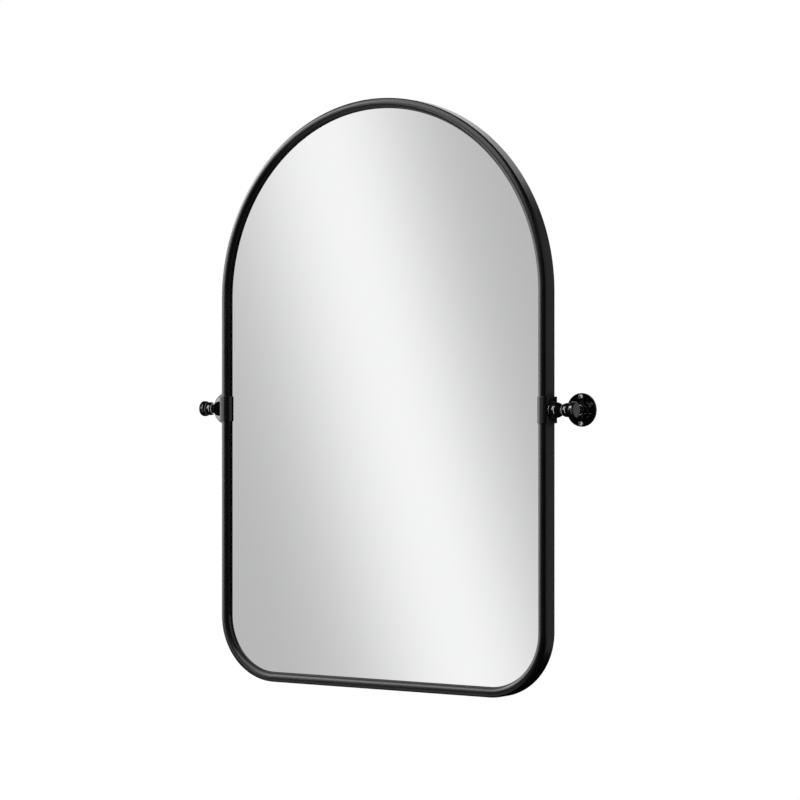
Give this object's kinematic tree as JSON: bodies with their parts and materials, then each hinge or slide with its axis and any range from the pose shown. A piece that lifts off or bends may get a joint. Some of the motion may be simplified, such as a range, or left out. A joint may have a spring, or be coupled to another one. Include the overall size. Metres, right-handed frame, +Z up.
{
  "type": "pivot wall mirror",
  "caption": "Arched wall mirror in a bullnose tube frame that tilts between two turned wall brackets with clamping knobs.",
  "frame": {"origin": "on the wall, halfway between the two wall plates, at the height of the pivots", "axes": "+Z up, +Y into the wall, +X to the right for someone who faces the mirror"},
  "size_m": [0.7204, 0.0791, 0.914],
  "materials": {
    "frame_paint": "satin",
    "black_plating": "gloss",
    "mirror_silver": "polished",
    "zinc_steel": "satin",
    "foam": "matte",
    "fibreboard": "matte"
  },
  "bodies": {
    "wall_brackets": {"wall_plate_left": "black_plating", "post_left": "black_plating", "post_screw_left": "zinc_steel", "wall_screw_left_top": "zinc_steel", "wall_screw_left_bottom": "zinc_steel", "wall_plate_right": "black_plating", "post_right": "black_plating", "post_screw_right": "zinc_steel", "wall_screw_right_top": "zinc_steel", "wall_screw_right_bottom": "zinc_steel"},
    "mirror": {"frame_tube": "frame_paint", "mirror_glass": "mirror_silver", "foam_sheet": "foam", "backboard": "fibreboard", "board_tab_1": "zinc_steel", "tab_screw_1": "zinc_steel", "board_tab_2": "zinc_steel", "tab_screw_2": "zinc_steel", "board_tab_3": "zinc_steel", "tab_screw_3": "zinc_steel", "board_tab_4": "zinc_steel", "tab_screw_4": "zinc_steel", "board_tab_5": "zinc_steel", "tab_screw_5": "zinc_steel", "board_tab_6": "zinc_steel", "tab_screw_6": "zinc_steel", "board_tab_7": "zinc_steel", "tab_screw_7": "zinc_steel", "board_tab_8": "zinc_steel", "tab_screw_8": "zinc_steel", "collar_left": "frame_paint", "rivet_nut_left": "zinc_steel", "pivot_stud_left": "zinc_steel", "ball_spacer_left": "black_plating", "inner_washer_left": "zinc_steel", "outer_washer_left": "zinc_steel", "collar_right": "frame_paint", "rivet_nut_right": "zinc_steel", "pivot_stud_right": "zinc_steel", "ball_spacer_right": "black_plating", "inner_washer_right": "zinc_steel", "outer_washer_right": "zinc_steel"},
    "left_knob": {"knob_left": "black_plating"},
    "right_knob": {"knob_right": "black_plating"}
  },
  "joints": [
    {"name": "mirror_tilt", "type": "hinge", "parent": "wall_brackets", "child": "mirror", "pos_m": [0, -0.043, 0], "axis": [1, 0, 0], "range_deg": [-3.4, 3.8]},
    {"name": "knob_left_turn", "type": "hinge", "parent": "mirror", "child": "left_knob", "pos_m": [-0.34645, -0.043, 0], "axis": [-1, 0, 0], "range_deg": [0, 180]},
    {"name": "knob_right_turn", "type": "hinge", "parent": "mirror", "child": "right_knob", "pos_m": [0.34645, -0.043, 0], "axis": [1, 0, 0], "range_deg": [0, 180]}
  ]
}
